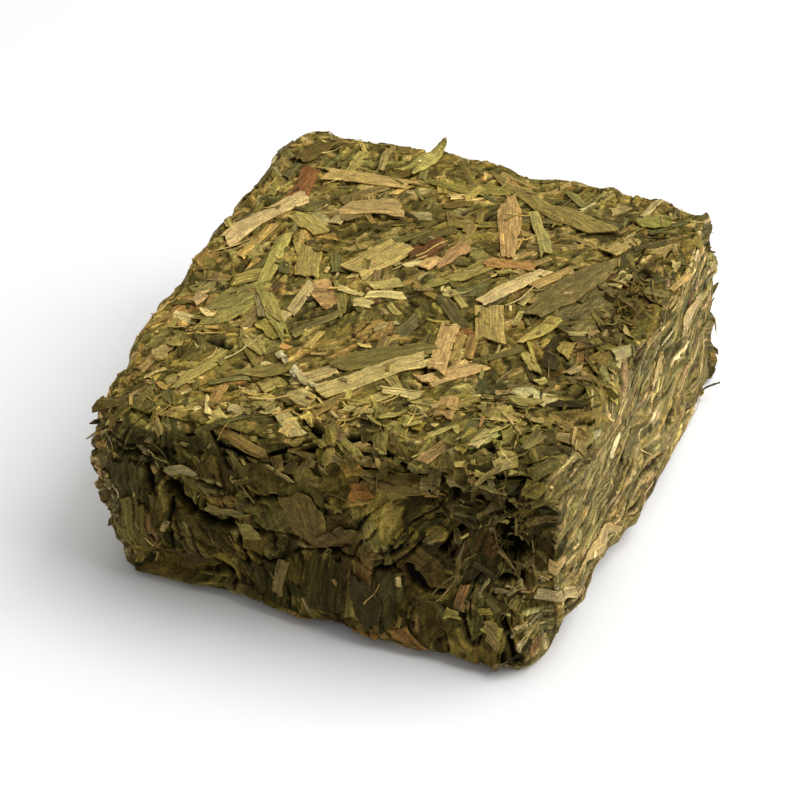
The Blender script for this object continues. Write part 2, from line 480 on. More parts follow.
def blurred(field, cells):
    """The field smoothed by a bell curve, of so many cells along each of its first two axes."""
    for axis, spread in enumerate(cells):
        reach = max(1, int(3 * spread))
        weights = np.exp(-0.5 * (np.arange(-reach, reach + 1) / spread) ** 2)
        weights /= weights.sum()
        pad = [(0, 0)] * field.ndim
        pad[axis] = (reach, reach)
        wide = np.pad(field, pad, mode="reflect")
        length = field.shape[axis]
        field = sum(w * np.take(wide, range(k, k + length), axis) for k, w in enumerate(weights))
    return field


def lumps(rng, shape, size, stretch=1.0):
    """Random lumps of about this many cells, drawn out across the side by stretch, with a spread of one."""
    cells = size / 3
    field = blurred(rng.normal(size=shape), (cells * stretch, cells))
    return field / field.std()


def sampled(field, x, y):
    """The field between its cells, at these places counted in cells."""
    x, y = np.clip(x, 0, field.shape[0] - 1.001), np.clip(y, 0, field.shape[1] - 1.001)
    i, j = x.astype(int), y.astype(int)
    x, y = x - i, y - j
    if field.ndim == 3:
        x, y = x[..., None], y[..., None]
    near = field[i, j] * (1 - y) + field[i, j + 1] * y
    far = field[i + 1, j] * (1 - y) + field[i + 1, j + 1] * y
    return near * (1 - x) + far * x


def plane_through(x, y, height):
    """The flat plane that lies nearest to these heights."""
    spans = np.stack([np.ones(x.size), x.ravel(), y.ravel()], axis=1)
    return (spans @ np.linalg.lstsq(spans, height.ravel(), rcond=None)[0]).reshape(x.shape)


def unit(vectors):
    return vectors / np.maximum(np.linalg.norm(vectors, axis=-1, keepdims=True), 1e-9)


def mix(low, high, share):
    return low + (high - low) * np.clip(share, 0, 1)[..., None]


def bell(a, b, spot):
    """A smooth bump that is 1 at the spot and fades over its reach."""
    return np.exp(-((a - spot.a) / spot.reach_a) ** 2 - ((b - spot.b) / spot.reach_b) ** 2)


def line_distance(a, b, points):
    """How far each place is from a line through these points."""
    nearest = np.full(a.shape, np.inf)
    for (a0, b0), (a1, b1) in zip(points, points[1:]):
        run_a, run_b = a1 - a0, b1 - b0
        along = np.clip(((a - a0) * run_a + (b - b0) * run_b) / (run_a ** 2 + run_b ** 2), 0, 1)
        nearest = np.minimum(nearest, np.hypot(a - a0 - along * run_a, b - b0 - along * run_b))
    return nearest


def heading_on(look, name):
    """The way that the fibres of one side run where its look goes round an edge onto the chart of another."""
    there, here = SIDES[look], SIDES[name]
    turn = math.radians(GROUNDS[look].heading)
    way = math.cos(turn) * there.across + math.sin(turn) * there.up
    down = -(way @ here.out)
    return math.atan2(way @ here.up + down * (there.out @ here.up),
                      way @ here.across + down * (there.out @ here.across))


def straight_below(solid, name, a, b):
    """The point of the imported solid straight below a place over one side. One that isn't on that side's own
    face, but on a flake far down, counts as on the box round the block."""
    side = SIDES[name]
    over = MIDDLE + a * side.across + b * side.up
    depth = abs(side.out) @ HALF
    hit = solid.ray_cast(Vector(over + FAR_OUT * side.out), Vector(-side.out))[0]
    if hit is None or (np.array(hit) - MIDDLE) @ side.out < OWN_FACE * depth:
        return over + depth * side.out
    return np.array(hit)


class Chart:
    """A flat map of one side of the block, with the heights, colours and grain of what lies on it."""

    def __init__(self, name, solid, rng):
        self.name, self.side, self.solid, self.rng = name, SIDES[name], solid, rng
        side = self.side
        self.reach = np.array([abs(side.across) @ HALF, abs(side.up) @ HALF])
        self.area = self.reach[0] * self.reach[1] * 4 / 100
        self.depth = abs(side.out) @ HALF
        self.low = -self.reach - CHART_WRAP
        a, b = self.places(CHART_STEP)
        boxed = self.on_box(a, b)
        skin = np.empty(boxed.shape)
        core = np.clip(boxed, -CORE, CORE)
        away = boxed - core
        start = MIDDLE + core + START_OUT * away
        for index in np.ndindex(a.shape):
            skin[index] = solid.ray_cast(Vector(start[index]), Vector(-away[index]))[0]
        self.skin = blurred(skin, (CHART_SMOOTH, CHART_SMOOTH))
        slope_a, slope_b = np.gradient(self.skin, axis=(0, 1))
        self.normal = unit(blurred(unit(np.cross(slope_a, slope_b)), (NORMAL_SMOOTH, NORMAL_SMOOTH)))
        self.skin += self.normal * self.fullness(a, b)[..., None]
        self.lay_ground()

    def places(self, step):
        """The chart's places on a grid of this step."""
        count = np.ceil(2 * (self.reach + CHART_WRAP) / step).astype(int) + 1
        return np.meshgrid(*(low + step * np.arange(n) for low, n in zip(self.low, count)), indexing="ij")

    def fullness(self, a, b):
        """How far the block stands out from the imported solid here, in broad shapes only."""
        gap_a, gap_b = self.reach[0] - np.abs(a), self.reach[1] - np.abs(b)
        full = (CORNER_FILL if self.side.up is Z else EDGE_FILL) * np.exp(-(gap_a / FILL_REACH) ** 2)
        full += EDGE_FILL * np.exp(-(gap_b / FILL_REACH) ** 2)
        for swell in SWELLS.get(self.name, ()):
            full += swell.height * bell(a, b, swell)
        return full

    def on_box(self, a, b):
        """Places on the box round the block, from its middle. Past an edge they go on down the next side."""
        over_a = np.maximum(np.abs(a) - self.reach[0], 0)
        over_b = np.maximum(np.abs(b) - self.reach[1], 0)
        out = np.maximum(self.depth - over_a - over_b, 0)
        a = np.clip(a, -self.reach[0], self.reach[0])
        b = np.clip(b, -self.reach[1], self.reach[1])
        return a[..., None] * self.side.across + b[..., None] * self.side.up + out[..., None] * self.side.out

    def find(self, point):
        """The place on the chart of a point of the block."""
        core = np.clip(point - MIDDLE, -CORE, CORE)
        away = point - MIDDLE - core
        boxed = core + away * ROUNDING / np.abs(away).max()
        a, b, out = boxed @ self.side.across, boxed @ self.side.up, boxed @ self.side.out
        over = self.depth - out
        if abs(a) / self.reach[0] > abs(b) / self.reach[1]:
            return a + math.copysign(over, a), b
        return a, b + math.copysign(over, b)

    def below(self, name, a, b):
        """The place on this chart of what lies straight below a place over a side."""
        return np.array(self.find(straight_below(self.solid, name, a, b)))

    def run(self, name, a, b, way_a, way_b):
        """How far the place on this chart moves for each millimetre over the side, along a way."""
        here = self.below(name, a, b)
        ahead = self.below(name, a + NEAR_BY * way_a, b + NEAR_BY * way_b) - here
        behind = here - self.below(name, a - NEAR_BY * way_a, b - NEAR_BY * way_b)
        return min(ahead, behind, key=np.linalg.norm) / NEAR_BY

    def covers(self, place, margin=0.0):
        return (np.abs(place) <= self.reach + margin).all()

    def carried(self, a, b):
        """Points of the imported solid's skin at these places, and the way out of it there."""
        x, y = (a - self.low[0]) / CHART_STEP, (b - self.low[1]) / CHART_STEP
        return sampled(self.skin, x, y), unit(sampled(self.normal, x, y))

    def follow_fibres(self, ground):
        """How far along and across the fibres each place is, and the way that they run there."""
        facing = self.carried(self.a, self.b)[1]
        waver = LOOK_WAVER * lumps(self.rng, self.a.shape, LOOK_WAVER_SIZE / self.step)
        claims = [facing @ side.out + GROUNDS[name].claim + (waver if name == self.name else 0)
                  for name, side in SIDES.items()]
        for chart_name, gaining, spot in GAINS:
            if chart_name == self.name:
                claims[list(SIDES).index(gaining)] += spot.light * bell(self.a, self.b, spot)
        self.look = np.argmax(claims, axis=0)
        turn = math.radians(ground.heading)
        cos, sin = math.cos(turn), math.sin(turn)
        bend = ground.sway * lumps(self.rng, self.a.shape, BEND_SIZE / self.step)
        slope_a, slope_b = np.gradient(bend, self.step)
        headings = np.array([heading_on(name, self.name) for name in SIDES])
        self.heading = headings[self.look] + np.arctan(slope_a * cos + slope_b * sin)
        self.along = self.a * cos + self.b * sin
        self.across = self.b * cos - self.a * sin - bend
        self.grain = np.stack([self.along, self.across, 0 * self.a], axis=-1)

    def streaks(self, width, stretch):
        """Random streaks of about this width along the fibres, with a spread of one."""
        across_cell = STREAK_CELL * width
        along_cell = across_cell * stretch
        count = int(np.ptp(self.along) / along_cell) + 2, int(np.ptp(self.across) / across_cell) + 2
        field = blurred(self.rng.normal(size=count), (1.0, 1.0))
        x = (self.along - self.along.min()) / along_cell
        y = (self.across - self.across.min()) / across_cell
        return sampled(field / field.std(), x, y)

    def lay_ground(self):
        """The crumpled mass under the flakes."""
        ground, rng = GROUNDS[self.name], self.rng
        self.step = ground.step
        self.a, self.b = self.places(self.step)
        self.follow_fibres(ground)
        folds = [self.streaks(ground.lump * size, ground.stretch) for size in LUMP_SIZES]
        lumpy = sum(depth * fold for depth, fold in zip(LUMP_DEPTHS, folds))
        self.height = ground.level + ground.crumple * lumpy
        deep, shown, tone = (np.array([getattr(GROUNDS[name], part) for name in SIDES])[self.look]
                             for part in ("deep", "shown", "tone"))
        _, middling, fine = folds
        self.tint = mix(deep, shown, 0.5 + FINE_SHOWS * fine + MIDDLING_SHOWS * middling)
        patches = PATCH_LIGHT * lumps(rng, self.a.shape, PATCH_SIZE / self.step, PATCH_STRETCH)
        for cast in CASTS.get(self.name, ()):
            patches = patches + cast.light * bell(self.a, self.b, cast)
        warmth = PATCH_HUE * lumps(rng, self.a.shape, PATCH_SIZE / self.step, PATCH_STRETCH)
        hue = 1 + warmth[..., None] * WARMER
        self.tone = tone * np.exp(patches)[..., None] * hue
        self.tint = self.tint * np.exp(patches)[..., None] * hue
        self.open = 0 * self.a

    def comb(self):
        """Draws the fine fibres over all that is pressed in."""
        ground = GROUNDS[self.name]
        fibres = self.streaks(FIBRE_WIDTH, FIBRE_STRETCH)
        self.height = self.height + ground.comb * fibres
        self.tint = self.tint * np.exp(ground.comb_tone * fibres)[..., None]

    def at(self, field, a, b):
        """The value of a field at this place."""
        cell = (np.array((a, b)) - self.low) / self.step
        i, j = (int(np.clip(place, 0, count - 1)) for place, count in zip(cell, self.a.shape))
        return field[i, j]

    def carve(self, points, half_width, depth):
        """Opens a gap along a line, with rough walls."""
        away = line_distance(self.a, self.b, points)
        near = away < WALL_REACH * half_width
        away = away[near] / (half_width * self.ragged[near])
        bite = np.exp(-away ** 4)
        self.height[near] -= depth * bite
        self.open[near] = np.maximum(self.open[near], bite)
        self.tint[near] *= (1 - SPLIT_DARK * bite)[:, None]

    def split(self):
        """Opens the splits that the photo shows and the thin seams between layers."""
        rng = self.rng
        self.ragged = np.maximum(RAGGED_LEAST, 1 + RAGGED * lumps(rng, self.a.shape, RAGGED_SIZE / self.step))
        for name, splits in SPLITS.items():
            for half_width, depth, *line in splits:
                points = [self.below(name, *point) for point in line]
                if all(self.covers(point, CHART_WRAP) for point in points):
                    self.carve(points, half_width, depth)
        for _ in range(int(GROUNDS[self.name].seams * self.area)):
            points = [rng.uniform(-self.reach, self.reach)]
            for _ in range(rng.integers(*SEAM_STEPS)):
                way = self.at(self.heading, *points[-1]) + rng.normal(0, SEAM_STRAY)
                points.append(points[-1] + SEAM_STEP * np.array((math.cos(way), math.sin(way))))
            self.carve(points, rng.uniform(*SEAM_HALF_WIDTH), SEAM_DEPTH)


def between(count, fine):
    """The weights that turn values at count + 1 nodes into values at fine places between each two."""
    places = np.arange(count * fine + 1) / fine
    return np.maximum(0, 1 - np.abs(places[:, None] - np.arange(count + 1)[None, :]))


Flake = namedtuple("Flake", "x y a b height thick colour stuff")


class Mat:
    """The flakes of one chart: those pressed in change the chart, and loose ones are kept for a mesh."""

    def __init__(self, chart):
        self.chart, self.rng = chart, chart.rng
        self.loose = {}

    def outline(self, form, length, width, cells):
        """The flake's nodes before it is laid, as places along and across it."""
        rng = self.rng
        share = np.linspace(0, 1, cells[0] + 1)[:, None]
        across = np.linspace(-1, 1, cells[1] + 1)[None, :]
        if form == "blade":
            half = 1 - BLADE_TAPER * share ** 2
        elif form == "leaf":
            swell = np.sin(math.pi * (LEAF_CUT + (1 - 2 * LEAF_CUT) * share)) ** rng.uniform(*LEAF_ROUND)
            half = np.maximum(LEAF_TIP, swell)
        else:
            half = np.ones_like(share)
        rough = EDGE_ROUGH[form]
        places = np.linspace(0, EDGE_BENDS * EDGE_FINE, cells[0] + 1).astype(int)
        bends = rng.normal(0, EDGE_SWAY, (EDGE_BENDS + 1, 2))
        sides = 1 + rough * (between(EDGE_BENDS, EDGE_FINE)[places] @ bends)
        sides += rng.normal(0, EDGE_TEAR * rough, sides.shape)
        y = 0.5 * width * half * np.where(across < 0, sides[:, :1], sides[:, 1:]) * across
        x = (share - 0.5) * length + 0 * across
        # The ends are cut on a slant, and torn ones are ragged too.
        ragged = CUT_END_ROUGH if form == "straw" else END_ROUGH
        for end in (0, -1):
            x[end] += rng.normal(0, END_SLANT) * y[end] + rng.normal(0, ragged * length, cells[1] + 1)
        return x, y + rng.normal(0, BOW) * (x ** 2 - length ** 2 / 8)

    def lay(self, form, stuff, a, b, angle, length, width, colour, cells, thick, roll=0.0,
            lift=(0.0, 0.0), arch=0.0, crumple=0.0, sink=0.1, pressed=False):
        """Lays one flake over what is there. Its few nodes settle on what lies under the finer places between
        them."""
        chart, rng = self.chart, self.rng
        x, y = self.outline(form, length, width, cells)
        cos, sin = math.cos(angle), math.sin(angle)
        place_a = a + x * cos - y * sin
        place_b = b + x * sin + y * cos
        fine = [max(1, math.ceil(size / count / chart.step * FINER))
                for size, count in zip((length, width), cells)]
        spread, spread_cross = between(cells[0], fine[0]), between(cells[1], fine[1]).T
        i = np.round((spread @ place_a @ spread_cross - chart.low[0]) / chart.step).astype(int)
        j = np.round((spread @ place_b @ spread_cross - chart.low[1]) / chart.step).astype(int)
        i = np.clip(i, 0, chart.height.shape[0] - 1)
        j = np.clip(j, 0, chart.height.shape[1] - 1)
        under = chart.height[i, j]
        starts = [np.maximum(0, np.arange(count + 1) * n - n // 2) for count, n in zip(cells, fine)]
        height = np.maximum.reduceat(np.maximum.reduceat(under, starts[0], axis=0), starts[1], axis=1)
        mean = np.add.reduceat(np.add.reduceat(under, starts[0], axis=0), starts[1], axis=1)
        counts = [np.diff(np.append(s, n)) for s, n in zip(starts, under.shape)]
        mean = mean / (counts[0][:, None] * counts[1][None, :])
        height = 0.5 * (height + mean) if pressed else LIES_HIGH * height + (1 - LIES_HIGH) * mean
        stiff = STIFFNESS[form]
        height = stiff * plane_through(x, y, height) + (1 - stiff) * height
        share = np.linspace(0, 1, cells[0] + 1)[:, None]
        across = np.linspace(-1, 1, cells[1] + 1)[None, :]
        height = height + thick - sink + roll * across + lift[0] * (1 - share) ** 3 + lift[1] * share ** 3
        height = height + arch * width * (0.5 - across ** 2) + rng.normal(0, crumple, height.shape)
        over = spread @ height @ spread_cross
        if pressed:
            shows = over > under
            i, j = i[shows], j[shows]
            chart.height[i, j] = over[shows]
            chart.tint[i, j] = colour
            along, cross = ((spread @ part @ spread_cross)[shows] for part in (x, y))
            chart.grain[i, j] = np.stack([along, cross, 0 * along + rng.uniform(0, 99)], axis=-1)
        else:
            chart.height[i, j] = np.maximum(under, over)
            flake = Flake(x, y, place_a, place_b, height, thick, colour, stuff)
            self.loose.setdefault(cells, []).append(flake)

    def course(self, course, pressed, look):
        """One layer of flakes, spread evenly over the part of the side with this look."""
        chart, rng = self.chart, self.rng
        start = rng.random(2)
        for index in range(int(course.density * chart.area)):
            a = (2 * ((start[0] + index * EVEN_A) % 1) - 1) * chart.reach[0] + rng.normal(0, SHAKE)
            b = (2 * ((start[1] + index * EVEN_B) % 1) - 1) * chart.reach[1] + rng.normal(0, SHAKE)
            if chart.at(chart.look, a, b) != look or not pressed and chart.at(chart.open, a, b) > OPEN_LIMIT:
                continue
            stuff = STUFFS[rng.choice(len(STUFFS), p=course.shares)]
            length = course.length[0] + np.ptp(course.length) * rng.random() ** LENGTH_POWER
            width = course.width[0] + np.ptp(course.width) * rng.random() ** WIDTH_POWER
            width = min(width, WIDEST * length)
            form = STUFF_FORM.get(stuff) or LEAFY_FORMS[rng.integers(len(LEAFY_FORMS))]
            if course.spread < STRAIGHT and form == "leaf":
                form = "blade"
            angle = chart.at(chart.heading, a, b) + math.radians(rng.normal(0, course.spread))
            angle += math.pi * rng.integers(2)
            palette = COLOURS[stuff]
            varies = LIGHT_VARIES + SMALL_VARIES * (width < NARROW)
            colour = palette[rng.integers(len(palette))] * chart.at(chart.tone, a, b)
            colour = colour * rng.lognormal(0, varies)
            colour = colour * (1 + rng.normal(0, HUE_VARIES) * WARMER)
            lift = np.abs(rng.normal(0, course.lift, 2)) * (rng.random(2) < LIFTED)
            cells = CELLS[pressed][int(length < SHORT)]
            arch = abs(rng.normal(0, STRAW_ARCH)) if form == "straw" else rng.normal(0, FLAKE_ARCH)
            crumple = course.crumple * (STRAW_CRUMPLE if form == "straw" else 1)
            self.lay(form, stuff, a, b, angle, length, width, colour, cells, rng.uniform(*course.thick),
                     rng.normal(0, course.roll), lift, arch, crumple, pressed=pressed)

    def courses(self, table, pressed):
        """All the layers of a side: its own, and its neighbours' where it has their looks."""
        for look, name in enumerate(SIDES):
            if (self.chart.look == look).any():
                for course in table[name]:
                    self.course(course, pressed, look)

    def seen(self, pressed):
        """The flakes that the photo shows one by one, where they lie on this chart."""
        chart = self.chart
        for name, rows in SEEN_PRESSED if pressed else SEEN_LOOSE:
            for flake in (Seen(*row) for row in rows):
                place = chart.below(name, flake.a, flake.b)
                if not chart.covers(place, SEEN_LAP if pressed else 0.0):
                    continue
                turn = math.radians(flake.degrees)
                cos, sin = math.cos(turn), math.sin(turn)
                along = chart.run(name, flake.a, flake.b, cos, sin)
                across = chart.run(name, flake.a, flake.b, -sin, cos)
                stretch = np.clip([np.linalg.norm(along), np.linalg.norm(across)], *SEEN_STRETCH)
                self.lay(flake.form, FORM_STUFF[flake.form], *place, math.atan2(along[1], along[0]),
                         *(stretch * (flake.length, flake.width)), linear(flake.colour) * SEEN_TONE[name],
                         SEEN_CELLS[pressed], SEEN_THICK[pressed],
                         self.rng.normal(0, SEEN_ROLL), (SEEN_START, flake.lift), SEEN_ARCH, SEEN_CRUMPLE,
                         pressed=pressed)

    def mesh(self, name):
        """The loose flakes as one mesh of thin closed bodies."""
        parts = []
        base = 0
        for cells, flakes in self.loose.items():
            x, y, a, b, height = (np.array([f[k] for f in flakes]) for k in range(5))
            thick = np.array([f.thick for f in flakes])[:, None, None]
            skin, out = self.chart.carried(a, b)
            upper = skin + out * height[..., None]
            down = unit(np.cross(np.gradient(upper, axis=2), np.gradient(upper, axis=1)))
            rim = np.ones((cells[0] + 1, cells[1] + 1))
            rim[[0, -1], :] = RIM_THICK
            rim[:, [0, -1]] = RIM_THICK
            both = np.stack([upper, upper + down * (thick * rim)[..., None]], axis=1)
            shell = shell_faces(*cells)
            nodes = both[0].size // 3
            faces = np.arange(len(flakes))[:, None, None] * nodes + shell[None] + base
            base += len(flakes) * nodes
            seed = np.arange(len(flakes))[:, None, None] * GRAIN_APART + 0 * x
            grain = np.stack([x, y, seed], axis=-1)
            edge = 0 * x + np.abs(np.linspace(-1, 1, cells[1] + 1))
            colour = np.array([f.colour for f in flakes])[:, None, None, :] + 0 * grain
            paint = np.concatenate([colour, edge[..., None]], axis=-1)
            kinds = np.repeat([STUFFS.index(f.stuff) for f in flakes], len(shell))
            twice = [np.stack([part, part], axis=1).reshape(-1, part.shape[-1]) for part in (paint, grain)]
            parts.append((both.reshape(-1, 3), faces.reshape(-1, 4), *twice, kinds))
        rows = (np.concatenate(row) for row in zip(*parts))
        return hay_object(name, *rows, [FINISHES[stuff] for stuff in STUFFS])

    def skin(self, name):
        """The pressed flakes and the mass between them as one closed body, which narrows to the middle."""
        chart = self.chart
        keep_a = np.abs(chart.a[:, 0]) <= chart.reach[0] + SKIN_LAP
        keep_b = np.abs(chart.b[0]) <= chart.reach[1] + SKIN_LAP
        a, b, height, tint, grain = (f[keep_a][:, keep_b] for f in
                                     (chart.a, chart.b, chart.height, chart.tint, chart.grain))
        tint = blurred(tint, (TINT_SMOOTH, TINT_SMOOTH))
        skin, out = chart.carried(a, b)
        points = skin + out * height[..., None]
        spread = HOLLOW_REACH / chart.step
        hollow = height - blurred(height, (spread, spread))
        shade = np.clip(1 + np.where(hollow < 0, HOLLOW_DARK, RISE_LIGHT) * hollow, *SHADE_LIMITS)
        paint = np.concatenate([tint * shade[..., None], np.clip(hollow * 2, 0, 1)[..., None]], axis=-1)
        grid = np.arange(a.size).reshape(a.shape)
        quads = np.stack([grid[:-1, :-1], grid[1:, :-1], grid[1:, 1:], grid[:-1, 1:]], axis=-1).reshape(-1, 4)
        rim = np.concatenate([grid[:-1, 0], grid[-1, :-1], grid[:0:-1, -1], grid[0, :0:-1]])
        return hay_object(name, points.reshape(-1, 3), quads, paint.reshape(-1, 4), grain.reshape(-1, 3),
                          np.zeros(len(quads), dtype=int), [FINISHES["mass"]], rim)


def shell_faces(along_cells, cross_cells):
    """The faces of a thin closed body whose upper nodes come first and whose lower nodes follow."""
    upper = np.arange((along_cells + 1) * (cross_cells + 1)).reshape(along_cells + 1, cross_cells + 1)
    faces = [(upper[i, j], upper[i + 1, j], upper[i + 1, j + 1], upper[i, j + 1])
             for i in range(along_cells) for j in range(cross_cells)]
    faces += [tuple(corner + upper.size for corner in face[::-1]) for face in faces]
    rim = np.concatenate([upper[:-1, 0], upper[-1, :-1], upper[:0:-1, -1], upper[0, :0:-1]])
    for here, there in zip(rim, np.roll(rim, -1)):
        faces.append((there, here, here + upper.size, there + upper.size))
    return np.array(faces)


def hay_object(name, points, faces, paint, grain, kinds, finishes, rim=()):
    """A mesh with its colours and the run of its grain as attributes. A rim is closed to the middle."""
    points[:, 2] = np.maximum(points[:, 2], REST_HEIGHT)
    if len(rim):
        points, paint, grain = (np.vstack([rows, row]) for rows, row in
                                ((points, MIDDLE), (paint, paint[0]), (grain, grain[0])))
    mesh = bpy.data.meshes.new(name)
    mesh.vertices.add(len(points))
    mesh.vertices.foreach_set("co", (points * MM).astype(np.float32).ravel())
    fans = [(there, here, len(points) - 1) for here, there in zip(rim, np.roll(rim, -1))] if len(rim) else []
    loops = np.concatenate([faces.ravel(), np.array(fans, dtype=int).ravel()]).astype(np.int32)
    starts = np.concatenate([np.arange(0, faces.size, 4), faces.size + 3 * np.arange(len(fans))])
    mesh.loops.add(len(loops))
    mesh.loops.foreach_set("vertex_index", loops)
    mesh.polygons.add(len(starts))
    mesh.polygons.foreach_set("loop_start", starts.astype(np.int32))
    for finish in finishes:
        mesh.materials.append(finish)
    mesh.polygons.foreach_set("material_index", np.append(kinds, np.zeros(len(fans))).astype(np.int32))
    mesh.update(calc_edges=True)
    colours = mesh.attributes.new("hay_colour", "FLOAT_COLOR", "POINT")
    colours.data.foreach_set("color", paint.astype(np.float32).ravel())
    grains = mesh.attributes.new("grain", "FLOAT_VECTOR", "POINT")
    grains.data.foreach_set("vector", grain.astype(np.float32).ravel())
    mesh.polygons.foreach_set("use_smooth", np.ones(len(starts), dtype=bool))
    mesh.set_sharp_from_angle(angle=math.radians(SHARP_DEGREES))
    made = bpy.data.objects.new(name, mesh)
    bpy.context.scene.collection.objects.link(made)
    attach(made, "root")
    return made


def add_node(tree, kind, inputs=None, **settings):
    """Adds a node. An input takes a value, or another node's output to link from."""
    node = tree.nodes.new("ShaderNode" + kind)
    for name, value in settings.items():
        setattr(node, name, value)
    for key, value in (inputs or {}).items():
        if isinstance(value, bpy.types.NodeSocket):
            tree.links.new(value, node.inputs[key])
        else:
            node.inputs[key].default_value = value
    return node


# Ribs fade in and out over 10 mm, stains come so often to the millimetre along the grain and across it,
# specks are half a millimetre across and wrinkles 1.5 mm apart.
RIB_LENGTH, STAIN_RATE, SPECK_SIZE, WRINKLE_SIZE, WRINKLE_DEPTH = 10.0, (0.3, 0.7, 1), 0.5, 1.5, 0.4

# NOISE_RANGE is the part of each noise that is drawn, and the tones are how dark and light that makes the
# tissue. A stain pales by PALER of what it darkens. Only the last of a rim is worn, by its power, and ribs
# are smoother on top than between.
NOISE_RANGE, SPECK_TONES, WORN_TONE, PALER, RIM_POWER = (0.3, 0.7), (0.75, 1.35), 1.3, 0.6, 4.0
ROUGHER, SMOOTHER, RIB_BUMP, WRINKLE_BUMP = 0.1, 0.08, 0.8, 0.7
CELLULOSE_IOR = 1.45


def dry_plant(name, rib, rib_depth, rib_tone, stain, roughness, gloss):
    """Dry plant tissue: ribs along the grain, stains, pale worn edges and specks, scaled in millimetres."""
    made = bpy.data.materials.new(name)
    made.use_nodes = True
    tree = made.node_tree
    shader = tree.nodes["Principled BSDF"]
    colour = add_node(tree, "Attribute", attribute_name="hay_colour")
    grain = add_node(tree, "Attribute", attribute_name="grain")
    place = add_node(tree, "TexCoord")
    # Ribs: the veins of the blade, long along the grain and a rib apart across it.
    run = add_node(tree, "VectorMath", {0: grain.outputs["Vector"], 1: (1 / RIB_LENGTH, 1 / rib, 1)},
                   operation="MULTIPLY")
    ribs = add_node(tree, "TexNoise", {"Vector": run.outputs[0], "Scale": 1.0, "Detail": 2.0})
    # Stains: weathered patches some 3 mm long.
    patch = add_node(tree, "VectorMath", {0: grain.outputs["Vector"], 1: STAIN_RATE}, operation="MULTIPLY")
    stains = add_node(tree, "TexNoise", {"Vector": patch.outputs[0], "Scale": 1.0, "Detail": 3.0})
    # Specks: dust and broken cells. Wrinkles: puckers.
    specks, wrinkles = (add_node(tree, "TexNoise", {"Vector": place.outputs["Object"],
                                                    "Scale": 1 / (size * MM), "Detail": detail})
                        for size, detail in ((SPECK_SIZE, 1.0), (WRINKLE_SIZE, 3.0)))
    faint, strong = NOISE_RANGE
    shade = add_node(tree, "MapRange", {0: ribs.outputs["Fac"], 1: faint, 2: strong,
                                        3: 1 - rib_tone, 4: 1 + rib_tone})
    for source, low, high in ((stains, 1 - stain, 1 + PALER * stain), (specks, *SPECK_TONES)):
        tone = add_node(tree, "MapRange", {0: source.outputs["Fac"], 1: faint, 2: strong, 3: low, 4: high})
        shade = add_node(tree, "Math", {0: shade.outputs[0], 1: tone.outputs[0]}, operation="MULTIPLY")
    rim = add_node(tree, "Math", {0: colour.outputs["Alpha"], 1: RIM_POWER}, operation="POWER")
    worn = add_node(tree, "MapRange", {0: rim.outputs[0], 3: 1.0, 4: WORN_TONE})
    shade = add_node(tree, "Math", {0: shade.outputs[0], 1: worn.outputs[0]}, operation="MULTIPLY")
    tinted = add_node(tree, "VectorMath", {0: colour.outputs["Color"], "Scale": shade.outputs[0]},
                      operation="SCALE")
    tree.links.new(tinted.outputs[0], shader.inputs["Base Color"])
    rough = add_node(tree, "MapRange", {0: ribs.outputs["Fac"], 1: faint, 2: strong,
                                        3: roughness + ROUGHER, 4: roughness - SMOOTHER})
    tree.links.new(rough.outputs[0], shader.inputs["Roughness"])
    bump = add_node(tree, "Bump", {"Height": ribs.outputs["Fac"], "Distance": rib_depth * MM,
                                   "Strength": RIB_BUMP})
    bump = add_node(tree, "Bump", {"Height": wrinkles.outputs["Fac"], "Distance": WRINKLE_DEPTH * MM,
                                   "Strength": WRINKLE_BUMP, "Normal": bump.outputs[0]})
    tree.links.new(bump.outputs[0], shader.inputs["Normal"])
    shader.inputs["IOR"].default_value = CELLULOSE_IOR
    shader.inputs["Specular IOR Level"].default_value = gloss
    return made


FINISHES = {
    # Straw: the smooth outer skin of a hollow stem, with close even ribs and a slight gloss.
    "straw": dry_plant("dry_straw_skin", rib=0.45, rib_depth=0.2, rib_tone=0.45, stain=0.35, roughness=0.5,
                       gloss=0.22),
    # Grass blade: parallel veins a little further apart, duller.
    "blade": dry_plant("dry_grass_blade", rib=0.5, rib_depth=0.2, rib_tone=0.4, stain=0.42, roughness=0.58,
                       gloss=0.14),
    # Broken leaf: blotched and dull, its veins faint.
    "leaf": dry_plant("dry_broken_leaf", rib=0.8, rib_depth=0.14, rib_tone=0.22, stain=0.48, roughness=0.64,
                      gloss=0.1),
    # Stem skin: coarse fibres.
    "bark": dry_plant("dry_stem_skin", rib=0.5, rib_depth=0.2, rib_tone=0.32, stain=0.42, roughness=0.68,
                      gloss=0.1),
    # The pressed mass: crushed leaf and dust, dull.
    "mass": dry_plant("pressed_leaf_mass", rib=0.5, rib_depth=0.2, rib_tone=0.36, stain=0.4, roughness=0.7,
                      gloss=0.06),
}

